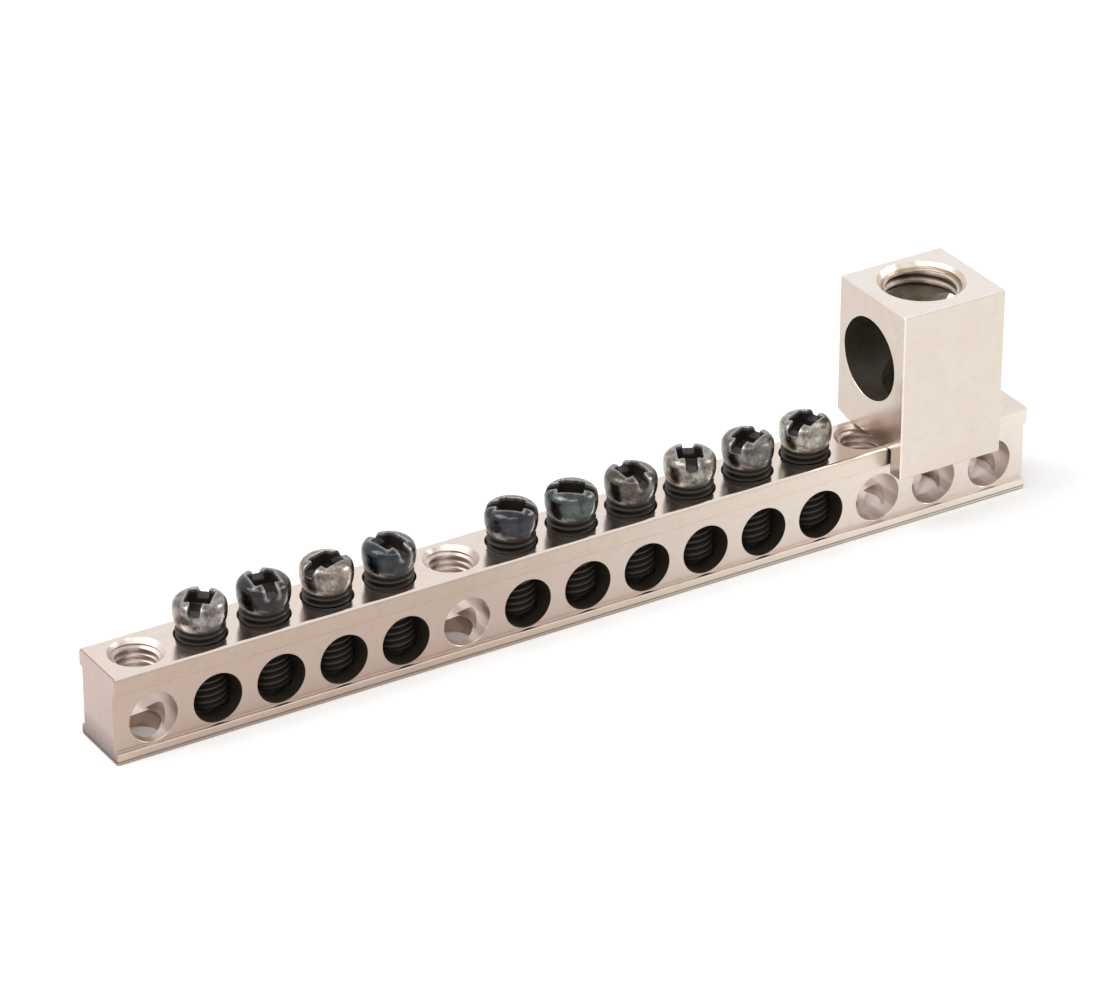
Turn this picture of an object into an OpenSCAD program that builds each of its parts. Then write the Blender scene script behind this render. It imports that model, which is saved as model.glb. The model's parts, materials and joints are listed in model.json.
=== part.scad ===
// Earth terminal bar with a conductor lug.
// X runs along the bar, Y across it (the front is -Y) and Z up. The origin is the centre of
// the bar's underside, at the middle of its length. Millimetres.

/* [Bar] */
// Number of terminal positions along the bar
positions = 15; // [14:1:17]
// Distance from one terminal position to the next
pitch = 8.9; // [8.5:0.1:10.5]
// Bar left beyond the first and the last position
end_margin = 5.5; // [4.8:0.1:8]
// Width of the bar over its lips
bar_w = 9.4; // [9:0.1:12]
// Height of the bar
bar_h = 12.2; // [11.8:0.1:14]
// Depth of the shallow recess in the front and back faces
recess = 0.65; // [0.3:0.05:0.9]
// Height of the lip above the recess
lip_top = 2.45; // [1.5:0.05:3]
// Height of the lip below the recess
lip_bottom = 1.5; // [1:0.05:1.6]
// Chamfer on the long outer edges
edge = 0.2; // [0.1:0.05:0.4]

/* [Conductor holes] */
// Diameter of the holes for the conductors
wire_d = 6.7; // [5.6:0.1:6.8]
// Height of their axis above the bar's underside
wire_z = 5; // [4.9:0.1:5.4]

/* [Screw holes] */
// Outside diameter of the terminal screws' thread
thread_d = 6.35; // [5.6:0.05:6.4]
// Radial clearance between a screw and its hole
thread_gap = 0.05; // [0.02:0.01:0.1]
// Diameter of the drill that goes before the tap
pilot_d = 5.5; // [4.8:0.1:5.5]
// Floor left under the point of that drill
pilot_floor = 0.8; // [0.6:0.1:1.2]
// Width of the countersink round each screw hole, in the radius
mouth = 0.42; // [0.2:0.02:0.6]
// Positions with a hole through the floor, for the mounting screws
mount_at = [1, 6];
// Positions that hold a terminal screw
screws_at = [2, 3, 4, 5, 7, 8, 9, 10, 11, 12];

/* [Terminal screws] */
// Diameter of the head
head_d = 6.9; // [6.6:0.1:7.6]
// Height of the head
head_h = 3.9; // [3.6:0.1:5]
// Height above its underside at which the head is widest
head_wide = 1.7; // [1.2:0.1:1.8]
// Radius of the shoulder
head_round = 1.3; // [0.8:0.1:1.5]
// Radius of the domed top
head_crown = 9; // [8.5:0.5:12]
// Step from the thread in to the neck under the head, in the radius
neck_step = 0.1; // [0.05:0.01:0.2]
// Length from under the head to the tip
screw_len = 11.4; // [10.8:0.1:12.4]
// Chamfer at the tip
tip_chamfer = 0.8; // [0.3:0.1:1]
// Clearance between the tip and the drill point under it, with the screw run in
tip_gap = 0.35; // [0.2:0.05:0.6]
// Width of the slot
slot_w = 1.5; // [1:0.1:1.8]
// Depth of the slot
slot_deep = 1.5; // [1:0.1:1.8]
// Width of the square socket in the middle of the slot
socket_w = 3.3; // [2.6:0.1:3.6]
// Depth of the square socket
socket_deep = 2.4; // [2:0.1:2.8]
// Direction of each slot, in degrees from +X
turns = [48, 82, 16, 102, 140, 143, 91, 63, 27, 25];

/* [Lug] */
// Width of the lug along the bar
lug_w = 15.8; // [15:0.1:17]
// Depth of the lug across the bar
lug_deep = 14.8; // [14.2:0.1:16]
// Height of the lug above the bar
lug_h = 20.2; // [19:0.1:24]
// Distance that the lug stands out behind the bar
lug_overhang = 2.5; // [1.5:0.1:3]
// How far the leg reaches down from the bar's top
leg_drop = 3.5; // [2.6:0.1:4.5]
// Gap between the leg and the bar's front lip
leg_gap = 0.5; // [0.3:0.1:1.2]
// Length over which the lug's underside rises at its heel, behind the bar
heel_run = 2.3; // [0.5:0.1:2.4]
// How far it rises there
heel_rise = 0.7; // [0.2:0.1:1.5]
// Chamfer on the lug's edges
lug_edge = 0.25; // [0.1:0.05:0.5]
// Diameter of the lug's conductor hole
lug_wire_d = 11.4; // [10.5:0.1:12.2]
// Metal between the bar's top and the lug's conductor hole
lug_floor = 5.3; // [4.6:0.1:5.6]
// Distance of the axes of the lug's holes behind the bar's middle
lug_hole_y = 0.2; // [-0.2:0.1:0.4]
// Outside diameter of the thread in the lug's top
set_thread_d = 10.7; // [10:0.1:11.5]
// Width of its countersink, in the radius
set_mouth = 0.45; // [0.2:0.05:0.7]

/* [Lug fixing screw] */
// Diameter of its countersunk head
fix_head_d = 9.4; // [8.5:0.1:9.8]
// Thickness of the straight rim of that head
fix_rim = 0.5; // [0.3:0.1:0.8]
// Width of the slot in it
fix_slot_w = 1.3; // [1:0.1:1.6]
// Depth of that slot
fix_slot_deep = 1.1; // [0.8:0.1:1.3]
// Length of its thread in the bar
fix_reach = 3.4; // [2.5:0.1:3.6]

/* [Hidden] */
$fn = 96;
over = 1;
thread_hole_d = thread_d + 2 * thread_gap;
bar_len = (positions - 1) * pitch + 2 * end_margin;
half_w = bar_w / 2;
face_y = half_w - recess;
// A twist drill's point: 118 degrees
point_angle = 118;
point_h = pilot_d / 2 / tan(point_angle / 2);
// The tap runs down to where the drill point starts
tap_z = pilot_floor + point_h;
// Underside of the heads, with each tip just above its drill point
tip_z = pilot_floor + (thread_d / 2 - tip_chamfer) / tan(point_angle / 2) + tip_gap;
screw_z = tip_z + screw_len;
// The side of the head swells from the neck in one arc, and its shoulder meets the domed top
neck_r = thread_d / 2 - neck_step;
swell = head_d / 2 - neck_r;
swell_r = (head_wide * head_wide + swell * swell) / (2 * swell);
shoulder_x = head_d / 2 - head_round;
shoulder_up = sqrt(pow(head_crown - head_round, 2) - pow(shoulder_x, 2));
shoulder_z = head_h - head_crown + shoulder_up;
shoulder_end = atan(shoulder_up / shoulder_x);
lug_position = positions - 1;
lug_back = half_w + lug_overhang;
lug_front = lug_back - lug_deep;
leg_t = -lug_front - half_w - leg_gap;
lug_top = bar_h + lug_h;
lug_wire_z = bar_h + lug_floor + lug_wire_d / 2;
set_hole_d = set_thread_d + 2 * thread_gap;
// The fixing screw's head lies just under the floor of the conductor hole
fix_sink = 0.3;
fix_top = bar_h + lug_floor - fix_sink;
fix_gap = 0.1;
fix_cone_h = (fix_head_d - thread_d) / 2;

// Place along the bar of a position, counted from 1 at the left end
function at(i) = (i - (positions + 1) / 2) * pitch;

// Right half of the bar's section, from the bottom up: lip, recess, lip
function half_section(side) = [
    [side * (half_w - edge), 0],
    [side * half_w, edge],
    [side * half_w, lip_bottom],
    [side * face_y, lip_bottom],
    [side * face_y, bar_h - lip_top],
    [side * half_w, bar_h - lip_top],
    [side * half_w, bar_h - edge],
    [side * (half_w - edge), bar_h]
];

function reversed(list) = [for (i = [len(list) - 1 : -1 : 0]) list[i]];

module extruded_bar() {
    rotate([90, 0, 90])
        linear_extrude(bar_len, center = true)
            polygon(concat(half_section(1), reversed(half_section(-1))));
}

module conductor_hole(i) {
    translate([at(i), 0, wire_z])
        rotate([90, 0, 0])
            cylinder(d = wire_d, h = bar_w + 2 * over, center = true);
}

// A countersunk thread bore from the top down to the end of the tap, and below it the pilot
// drill's own hole: a drill point in the floor, or right through it for a mounting screw
module screw_hole(i, through) {
    translate([at(i), 0, 0]) {
        translate([0, 0, tap_z])
            cylinder(d = thread_hole_d, h = bar_h - tap_z + over);
        translate([0, 0, bar_h - mouth])
            cylinder(d1 = thread_hole_d, d2 = thread_hole_d + 2 * mouth, h = mouth);
        translate([0, 0, bar_h])
            cylinder(d = thread_hole_d + 2 * mouth, h = over);
        if (through)
            translate([0, 0, -over])
                cylinder(d = pilot_d, h = tap_z + 2 * over);
        else
            translate([0, 0, pilot_floor])
                cylinder(d1 = 0, d2 = pilot_d, h = point_h);
    }
}

module terminal_bar() {
    color([0.80, 0.74, 0.70])
        difference() {
            extruded_bar();
            for (i = [1 : positions]) {
                conductor_hole(i);
                screw_hole(i, len(search(i, mount_at)) > 0);
            }
        }
}

// Side view of the lug, with its leg at the front and its heel rising at the back
function lug_section() = [
    [lug_front + lug_edge, bar_h - leg_drop],
    [lug_front + leg_t, bar_h - leg_drop],
    [lug_front + leg_t, bar_h],
    [lug_back - heel_run, bar_h],
    [lug_back, bar_h + heel_rise],
    [lug_back, lug_top - lug_edge],
    [lug_back - lug_edge, lug_top],
    [lug_front + lug_edge, lug_top],
    [lug_front, lug_top - lug_edge],
    [lug_front, bar_h - leg_drop + lug_edge]
];

module lug_body() {
    translate([at(lug_position), 0, 0])
        rotate([90, 0, 90])
            linear_extrude(lug_w, center = true)
                polygon(lug_section());
}

module lug() {
    color([0.84, 0.79, 0.75])
        difference() {
            lug_body();
            translate([at(lug_position), lug_hole_y, lug_wire_z])
                rotate([0, 90, 0])
                    cylinder(d = lug_wire_d, h = lug_w + 2 * over, center = true);
            translate([at(lug_position), lug_hole_y, lug_wire_z])
                cylinder(d = set_hole_d, h = lug_top - lug_wire_z + over);
            translate([at(lug_position), lug_hole_y, lug_top - set_mouth])
                cylinder(d1 = set_hole_d, d2 = set_hole_d + 2 * set_mouth, h = set_mouth);
            fixing_seat();
        }
}

// Countersunk seat in the lug's floor, open up into the conductor hole
module fixing_seat() {
    translate([at(lug_position), 0, 0]) {
        translate([0, 0, bar_h - over])
            cylinder(d = thread_hole_d, h = lug_floor);
        translate([0, 0, fix_top - fix_rim - fix_cone_h])
            cylinder(d1 = thread_hole_d, d2 = fix_head_d + 2 * fix_gap, h = fix_cone_h + fix_gap);
        translate([0, 0, fix_top - fix_rim + fix_gap])
            cylinder(d = fix_head_d + 2 * fix_gap, h = lug_wire_d / 2);
    }
}

module lug_fixing_screw() {
    color([0.55, 0.54, 0.52])
        translate([at(lug_position), 0, 0])
            difference() {
                union() {
                    translate([0, 0, fix_top - fix_rim])
                        cylinder(d = fix_head_d, h = fix_rim);
                    translate([0, 0, fix_top - fix_rim - fix_cone_h])
                        cylinder(d1 = thread_d, d2 = fix_head_d, h = fix_cone_h);
                    translate([0, 0, bar_h - fix_reach])
                        cylinder(d = thread_d, h = fix_top - fix_rim - fix_cone_h - bar_h + fix_reach);
                }
                translate([-fix_head_d / 2 - over, -fix_slot_w / 2, fix_top - fix_slot_deep])
                    cube([fix_head_d + 2 * over, fix_slot_w, fix_slot_deep + over]);
            }
}

// Points on an arc of radius r about c, from angle a to angle b
function arc(c, r, a, b, steps = 10) = [
    for (k = [0 : steps]) let (t = a + (b - a) * k / steps)
        [c[0] + r * cos(t), c[1] + r * sin(t)]
];

// Outline of the screw in radius and height, with the underside of the head at height 0
function screw_outline() = concat(
    [[0, -screw_len], [thread_d / 2 - tip_chamfer, -screw_len], [thread_d / 2, tip_chamfer - screw_len]],
    [[thread_d / 2, 0]],
    arc([head_d / 2 - swell_r, head_wide], swell_r, -asin(head_wide / swell_r), 0),
    arc([shoulder_x, shoulder_z], head_round, 0, shoulder_end),
    arc([0, head_h - head_crown], head_crown, shoulder_end, 90)
);

module drive_recess() {
    translate([0, 0, head_h - slot_deep / 2 + over / 2])
        cube([head_d + 2 * over, slot_w, slot_deep + over], center = true);
    translate([0, 0, head_h - socket_deep / 2 + over / 2])
        cube([socket_w, socket_w, socket_deep + over], center = true);
}

// n counts the screws from 1 at the left end
module terminal_screw(n) {
    color([0.27, 0.27, 0.28])
        translate([at(screws_at[n - 1]), 0, screw_z])
            rotate([0, 0, turns[n - 1]])
                difference() {
                    rotate_extrude()
                        polygon(screw_outline());
                    drive_recess();
                }
}

terminal_bar();
lug();
lug_fixing_screw();
terminal_screw(1);  // terminal_screw_01
terminal_screw(2);  // terminal_screw_02
terminal_screw(3);  // terminal_screw_03
terminal_screw(4);  // terminal_screw_04
terminal_screw(5);  // terminal_screw_05
terminal_screw(6);  // terminal_screw_06
terminal_screw(7);  // terminal_screw_07
terminal_screw(8);  // terminal_screw_08
terminal_screw(9);  // terminal_screw_09
terminal_screw(10);  // terminal_screw_10
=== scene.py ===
# %% [markdown]
# # Dressing an earth terminal bar
# The real object is a short bar of tin-plated alloy with fifteen cross holes for bare conductors.
# A dark screw comes down into most of them and clamps the wire, and one large lug stands on the
# bar's end. The construction is already fixed: it arrives as a frame of plain solids at their real
# size. This lesson gives each of them the finish, edges and threads that the eye expects.

# %% Load the fixed frame
import json
import math

import bpy
from mathutils import Matrix, Vector


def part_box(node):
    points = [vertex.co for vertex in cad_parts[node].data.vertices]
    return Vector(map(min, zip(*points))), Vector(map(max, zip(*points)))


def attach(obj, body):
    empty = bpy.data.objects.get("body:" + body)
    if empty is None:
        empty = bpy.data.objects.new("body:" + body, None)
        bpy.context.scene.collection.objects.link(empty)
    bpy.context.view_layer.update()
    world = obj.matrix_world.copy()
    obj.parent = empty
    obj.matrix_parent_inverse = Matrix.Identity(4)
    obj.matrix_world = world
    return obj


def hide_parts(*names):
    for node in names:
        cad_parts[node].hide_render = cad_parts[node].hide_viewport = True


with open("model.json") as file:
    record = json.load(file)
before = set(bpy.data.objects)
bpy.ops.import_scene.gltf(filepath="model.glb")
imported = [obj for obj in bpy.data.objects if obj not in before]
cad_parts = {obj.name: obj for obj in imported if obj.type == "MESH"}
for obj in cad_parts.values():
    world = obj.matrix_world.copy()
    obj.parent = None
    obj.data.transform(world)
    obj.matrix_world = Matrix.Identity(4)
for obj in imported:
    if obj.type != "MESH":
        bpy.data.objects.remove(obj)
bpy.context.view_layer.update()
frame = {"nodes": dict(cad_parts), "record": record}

# %% [markdown]
# Every place is measured on the frame before anything is made. The record's mounts say where the
# conductor ports are, and each screw's solid says where that screw stands, so a piece made here
# can't drift from the part it dresses. Small things are easier to read and to cut in millimetres,
# so each mesh is drawn in millimetres and scaled to metres as its last step.

# %% Measure the frame
MM = 0.001


def box_mm(node):
    low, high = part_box(node)
    return low / MM, high / MM


bar_low, bar_high = box_mm("terminal_bar")
lug_low, lug_high = box_mm("lug")
ports = {
    int(mount["name"][-2:]): mount["pos_m"][0] / MM
    for mount in frame["record"]["mounts"]
    if mount["name"].startswith("conductor_port")
}
screw_nodes = sorted(name for name in frame["nodes"] if name.startswith("terminal_screw"))
screw_boxes = {name: box_mm(name) for name in screw_nodes}
screw_places = {name: (low.x + high.x) / 2 for name, (low, high) in screw_boxes.items()}
print(len(ports), "ports and", len(screw_nodes), "terminal screws")

# %% [markdown]
# ## The camera
# The photograph was taken from the left end, in front and above, with a long lens that hardly
# lets the bar narrow with distance. The camera stands at the point that brings the fifteen ports
# closest to where the photograph has them, and it looks at the middle of the bar.

# %% Place the camera
CAMERA_AT = Vector((-0.3309, -0.5349, 0.3609))
CAMERA_AIM = Vector((-0.0012, 0.0032, 0.0143))
LENS_MM = 185.45
SENSOR_MM = 36.0

camera = bpy.data.objects.new("camera", bpy.data.cameras.new("camera"))
bpy.context.scene.collection.objects.link(camera)
bpy.context.scene.camera = camera
camera.location = CAMERA_AT
camera.rotation_euler = (CAMERA_AIM - CAMERA_AT).to_track_quat("-Z", "Y").to_euler()
camera.data.lens = LENS_MM
camera.data.sensor_width = SENSOR_MM
camera.data.clip_start, camera.data.clip_end = 0.01, 20.0
print("camera to bar:", round((CAMERA_AIM - CAMERA_AT).length, 3), "m")

# %% [markdown]
# ## The studio
# Metal shows its surroundings more than itself, so the room matters as much as the finish. A room
# with white walls could be modelled, but a plain white world does the same with nothing to build.
# The camera and mirrors see it at full white, and everything else gets a little over half of that
# as soft light.

# %% White room
scene = bpy.context.scene
scene.view_settings.view_transform = "Standard"
WORLD_LIGHT = 0.55
WORLD_SEEN = 1.0


def new_tree(owner):
    """An empty node tree for a material or a world."""
    owner.use_nodes = True
    owner.node_tree.nodes.clear()
    return owner.node_tree


def maths(tree, operation, first, second=None):
    """One step of arithmetic. The second value is a number or a socket, or there is none."""
    step = tree.nodes.new("ShaderNodeMath")
    step.operation = operation
    tree.links.new(first, step.inputs[0])
    if isinstance(second, float):
        step.inputs[1].default_value = second
    elif second is not None:
        tree.links.new(second, step.inputs[1])
    return step.outputs[0]


def seen_directly(tree):
    """1 for rays that come from the camera, a mirror or glass, and 0 for the rest."""
    path = tree.nodes.new("ShaderNodeLightPath").outputs
    first = maths(tree, "MAXIMUM", path["Is Camera Ray"], path["Is Glossy Ray"])
    return maths(tree, "MAXIMUM", first, path["Is Transmission Ray"])


world = bpy.data.worlds.new("studio")
scene.world = world
tree = new_tree(world)
sky = tree.nodes.new("ShaderNodeBackground")
strength = tree.nodes.new("ShaderNodeMapRange")
strength.inputs["To Min"].default_value = WORLD_LIGHT
strength.inputs["To Max"].default_value = WORLD_SEEN
tree.links.new(seen_directly(tree), strength.inputs["Value"])
tree.links.new(strength.outputs["Result"], sky.inputs["Strength"])
sky.inputs["Color"].default_value = (1.0, 1.0, 1.0, 1.0)
out = tree.nodes.new("ShaderNodeOutputWorld")
tree.links.new(sky.outputs["Background"], out.inputs["Surface"])
print("the room lights at", WORLD_LIGHT, "and is seen at", WORLD_SEEN)

# %% [markdown]
# The floor's paint is a little under white, so that it still takes a shadow. A small glow that only
# the camera and mirrors see lifts it to the photograph's clean white. The glow is left out right
# under the bar, because it would shine up through the open holes.

# %% Pale floor
FLOOR_PAINT = 0.86
FLOOR_GLOW = 0.20
FLOOR_HALF = 4.0


def outside_the_bar(tree):
    """1 on the floor round the bar, and 0 under it."""
    place = tree.nodes.new("ShaderNodeNewGeometry").outputs["Position"]
    apart = tree.nodes.new("ShaderNodeSeparateXYZ")
    tree.links.new(place, apart.inputs[0])
    past_x = maths(tree, "GREATER_THAN", maths(tree, "ABSOLUTE", apart.outputs[0]), bar_high.x * MM)
    past_y = maths(tree, "GREATER_THAN", maths(tree, "ABSOLUTE", apart.outputs[1]), bar_high.y * MM)
    return maths(tree, "MAXIMUM", past_x, past_y)


def floor_material():
    material = bpy.data.materials.new("floor_paint")
    tree = new_tree(material)
    paint = tree.nodes.new("ShaderNodeBsdfDiffuse")
    paint.inputs["Color"].default_value = (FLOOR_PAINT, FLOOR_PAINT, FLOOR_PAINT, 1.0)
    glow = tree.nodes.new("ShaderNodeEmission")
    where = maths(tree, "MULTIPLY", outside_the_bar(tree), seen_directly(tree))
    tree.links.new(maths(tree, "MULTIPLY", where, FLOOR_GLOW), glow.inputs["Strength"])
    both = tree.nodes.new("ShaderNodeAddShader")
    tree.links.new(paint.outputs[0], both.inputs[0])
    tree.links.new(glow.outputs[0], both.inputs[1])
    out = tree.nodes.new("ShaderNodeOutputMaterial")
    tree.links.new(both.outputs[0], out.inputs["Surface"])
    return material


corners = [(-FLOOR_HALF, -FLOOR_HALF, 0), (FLOOR_HALF, -FLOOR_HALF, 0),
           (FLOOR_HALF, FLOOR_HALF, 0), (-FLOOR_HALF, FLOOR_HALF, 0)]
floor_mesh = bpy.data.meshes.new("floor")
floor_mesh.from_pydata(corners, [], [(0, 1, 2, 3)])
floor_mesh.materials.append(floor_material())
floor = bpy.data.objects.new("floor", floor_mesh)
scene.collection.objects.link(floor)
print("floor at the bar's underside, z =", round(bar_low.z, 3))

# %% [markdown]
# The softboxes are area lamps, because the size of a lamp is what makes its highlight soft on a
# round head. The wide one hangs high over the bar's left end, where the top faces don't mirror it
# toward the camera, so they stay pale without burning out. The second stands low on the right, and
# the rounded shoulders of the screws and the bar's long edges catch it as soft lines. The third is
# a long strip high in front, which lifts the front faces.

# %% Softboxes


def softbox(name, place, aim, width, height, watts):
    lamp = bpy.data.lights.new(name, "AREA")
    lamp.shape = "RECTANGLE"
    lamp.size, lamp.size_y = width, height
    lamp.energy = watts
    stand = bpy.data.objects.new(name, lamp)
    stand.location = place
    stand.rotation_euler = (Vector(aim) - Vector(place)).to_track_quat("-Z", "Y").to_euler()
    scene.collection.objects.link(stand)


LAMP_AIM = (0, 0, 0.01)
softbox("overhead", (-0.38, 0.12, 0.66), LAMP_AIM, 0.45, 0.45, 2.9)
softbox("right", (0.62, -0.16, 0.40), LAMP_AIM, 0.22, 0.30, 1.5)
softbox("front", (-0.15, -0.32, 0.66), LAMP_AIM, 0.50, 0.12, 0.8)

# %% [markdown]
# ## Drawing with few points
# Three helpers make nearly every form here. A turned piece is an outline swept round an axis, as
# on a lathe. A drawn bar is a section pulled along X, as through a die, with its sharp corners
# rounded. A thread is a ridge that climbs as it goes round. Each returns a closed mesh, because
# the cutting that follows only works on closed meshes.

# %% Turned pieces


def piece(name, verts, faces):
    """A new object in the scene from points in millimetres."""
    mesh = bpy.data.meshes.new(name)
    mesh.from_pydata([tuple(v) for v in verts], [], faces)
    made = bpy.data.objects.new(name, mesh)
    scene.collection.objects.link(made)
    return made


def turned(name, outline, steps=96):
    """The outline is (radius, height) from the bottom to the top, and both ends are on the axis."""
    rings = outline[1:-1]
    verts = [(0, 0, outline[0][1])]
    for radius, height in rings:
        for k in range(steps):
            a = 2 * math.pi * k / steps
            verts.append((radius * math.cos(a), radius * math.sin(a), height))
    verts.append((0, 0, outline[-1][1]))
    faces = []
    for k in range(steps):
        after = (k + 1) % steps
        faces.append((0, 1 + after, 1 + k))
        for ring in range(len(rings) - 1):
            low, high = 1 + ring * steps, 1 + (ring + 1) * steps
            faces.append((low + k, low + after, high + after, high + k))
        last = 1 + (len(rings) - 1) * steps
        faces.append((last + k, last + after, len(verts) - 1))
    return piece(name, verts, faces)


def placed(made, x=0.0, y=0.0, z=0.0, turn=None):
    """Moves a mesh's own points, first turned about an axis if one is given, and returns it."""
    move = Matrix.Translation((x, y, z))
    if turn:
        move = move @ Matrix.Rotation(math.radians(turn[0]), 4, turn[1])
    made.data.transform(move)
    return made


print("turned() and placed() are ready")

# %% [markdown]
# A drawn bar could be a box with a bevel, but a bevel rounds all its edges alike. Here every corner
# of the section has a radius of its own, as the opening of the die has, and only the sawn ends get
# a small chamfer.

# %% Drawn bars


def rounded(corners, steps=4):
    """A closed section from (a, b, radius) corners, with an arc of that radius at each of them."""
    points = []
    count = len(corners)
    for i, (a, b, radius) in enumerate(corners):
        here = Vector((a, b))
        if radius == 0:
            points.append(here)
            continue
        back = (Vector(corners[i - 1][:2]) - here).normalized()
        on = (Vector(corners[(i + 1) % count][:2]) - here).normalized()
        half = back.angle(on) / 2
        centre = here + (back + on).normalized() * radius / math.sin(half)
        start = here + back * radius / math.tan(half) - centre
        end = here + on * radius / math.tan(half) - centre
        sweep = start.angle_signed(end)
        for k in range(steps + 1):
            angle = -sweep * k / steps
            points.append(centre + Matrix.Rotation(angle, 2) @ start)
    return points


def inset(points, amount):
    """The same section with every side moved in by amount."""
    moved = []
    for i, here in enumerate(points):
        back = (here - points[i - 1]).normalized()
        on = (points[(i + 1) % len(points)] - here).normalized()
        side = Vector((-back.y - on.y, back.x + on.x)).normalized()
        lean = max(0.3, abs(side.dot(Vector((-back.y, back.x)))))
        moved.append(here + side * amount / lean)
    return moved


def drawn_bar(name, section, low_x, high_x, chamfer):
    """The section runs counter-clockwise in (y, z), and is pulled along X with chamfered ends."""
    small = inset(section, chamfer)
    layers = [(low_x, small), (low_x + chamfer, section), (high_x - chamfer, section), (high_x, small)]
    count = len(section)
    verts = [(x, p.x, p.y) for x, points in layers for p in points]
    faces = [tuple(reversed(range(count))), tuple(range(3 * count, 4 * count))]
    for layer in range(3):
        for k in range(count):
            after = (k + 1) % count
            base = layer * count
            faces.append((base + k, base + after, base + count + after, base + count + k))
    return piece(name, verts, faces)


print("drawn_bar() is ready")

# %% [markdown]
# A thread could be a picture on a plain cylinder, but its crests show in the outline under each
# head and in the empty holes, so it is real here. One turn of the ridge is four lines: the two
# edges of the valley and the two edges of the crest. Each line climbs by one pitch in one turn
# and then becomes its own next turn.

# %% Threads
VALLEY_SHARE, FLANK_SHARE, CREST_SHARE = 0.25, 0.3125, 0.125


def threaded_rod(name, crest_r, valley_r, pitch, low, high, steps=72):
    """A closed rod with a right-handed thread. Its ragged ends lie outside low and high."""
    lines = [(valley_r, 0.0), (valley_r, VALLEY_SHARE), (crest_r, VALLEY_SHARE + FLANK_SHARE),
             (crest_r, VALLEY_SHARE + FLANK_SHARE + CREST_SHARE)]
    start = low - 1.5 * pitch
    turns = math.ceil((high - low) / pitch + 3)
    stations = turns * steps + 1
    verts = []
    for j in range(stations):
        a = 2 * math.pi * j / steps
        for radius, share in lines:
            verts.append((radius * math.cos(a), radius * math.sin(a), start + pitch * (j / steps + share)))
    faces = []
    for j in range(stations - 1):
        for m in range(3):
            i = 4 * j + m
            faces.append((i, i + 4, i + 5, i + 1))
    for j in range(stations - 1 - steps):
        i = 4 * j + 3
        over = 4 * (j + steps)
        faces.append((i, i + 4, over + 4, over))
    bottom = [4 * j for j in range(steps + 1)] + [3, 2, 1]
    first_top = 4 * (stations - 1 - steps)
    top = [first_top + 3 + 4 * j for j in range(steps + 1)] + [4 * (stations - 1) + m for m in (2, 1, 0)]
    below, above = len(verts), len(verts) + 1
    verts.append((0, 0, start - pitch))
    verts.append((0, 0, start + pitch * (turns + 2)))
    for ring, tip, flip in ((bottom, below, True), (top, above, False)):
        for k in range(len(ring)):
            pair = (ring[k], ring[(k + 1) % len(ring)])
            faces.append((pair[1], pair[0], tip) if flip else (pair[0], pair[1], tip))
    return piece(name, verts, faces)


print("threaded_rod() is ready")

# %% [markdown]
# Cutting and joining is left to Blender's boolean modifier. Its manifold solver is quick and
# exact on closed meshes. The result is copied out of the modifier at once, so that the finished
# pieces carry nothing that still has to be worked out.

# %% Cutting and joining


def settled(made):
    """Replaces an object's mesh by what its modifiers make of it, and drops the modifiers."""
    graph = bpy.context.evaluated_depsgraph_get()
    mesh = bpy.data.meshes.new_from_object(made.evaluated_get(graph))
    made.modifiers.clear()
    made.data = mesh
    return made


def shaped(made, tool, operation):
    """Cuts, joins or keeps what is common with the tool, which is used up."""
    step = made.modifiers.new("step", "BOOLEAN")
    step.operation = operation
    step.solver = "MANIFOLD"
    step.object = tool
    settled(made)
    bpy.data.objects.remove(tool)
    return made


def gathered(name, parts):
    """Several closed meshes as one object. Their surfaces aren't joined."""
    verts, faces = [], []
    for part in parts:
        first = len(verts)
        verts += [v.co.copy() for v in part.data.vertices]
        faces += [tuple(first + i for i in f.vertices) for f in part.data.polygons]
        bpy.data.objects.remove(part)
    return piece(name, verts, faces)


print("shaped() and gathered() are ready")

# %% [markdown]
# ## The bar
# The bar is drawn through a die, which gives it the same section from end to end: a shallow
# recess down both sides, with a deep lip above it and a thin one below. Its corners are only just
# rounded. The drawn corner radii are what catches the light as a thin line along the top.

# %% Draw the bar
BAR_W = bar_high.y - bar_low.y
BAR_H = bar_high.z - bar_low.z
RECESS = 0.65
LIP_TOP = 2.45
LIP_BOTTOM = 1.5
CORNER = 0.5
FOOT_CORNER = 0.42
LIP_CORNER = 0.22
INNER_CORNER = 0.06
UNDER_LIP_CORNER = 0.16
SAWN_EDGE = 0.14


def bar_section():
    half, face = BAR_W / 2, BAR_W / 2 - RECESS
    right = [
        (half, 0, FOOT_CORNER), (half, LIP_BOTTOM, LIP_CORNER), (face, LIP_BOTTOM, INNER_CORNER),
        (face, BAR_H - LIP_TOP, INNER_CORNER), (half, BAR_H - LIP_TOP, UNDER_LIP_CORNER),
        (half, BAR_H, CORNER),
    ]
    left = [(-y, z, radius) for y, z, radius in reversed(right)]
    return rounded(right + left)


bar = drawn_bar("bar_body", bar_section(), bar_low.x, bar_high.x, SAWN_EDGE)
print("section points:", len(bar_section()), "- length in mm:", round(bar_high.x - bar_low.x, 2))

# %% [markdown]
# Then it is drilled. Each conductor port is one plain hole from front to back with a broken edge.
# The fifteen cutters are gathered first, so that the bar is cut once and not fifteen times.

# %% Drill the conductor ports
PORT_R = 3.35
PORT_Z = 5.0
PORT_RIM = 0.05
FACE_Y = BAR_W / 2 - RECESS
BEYOND = 1.0


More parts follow.
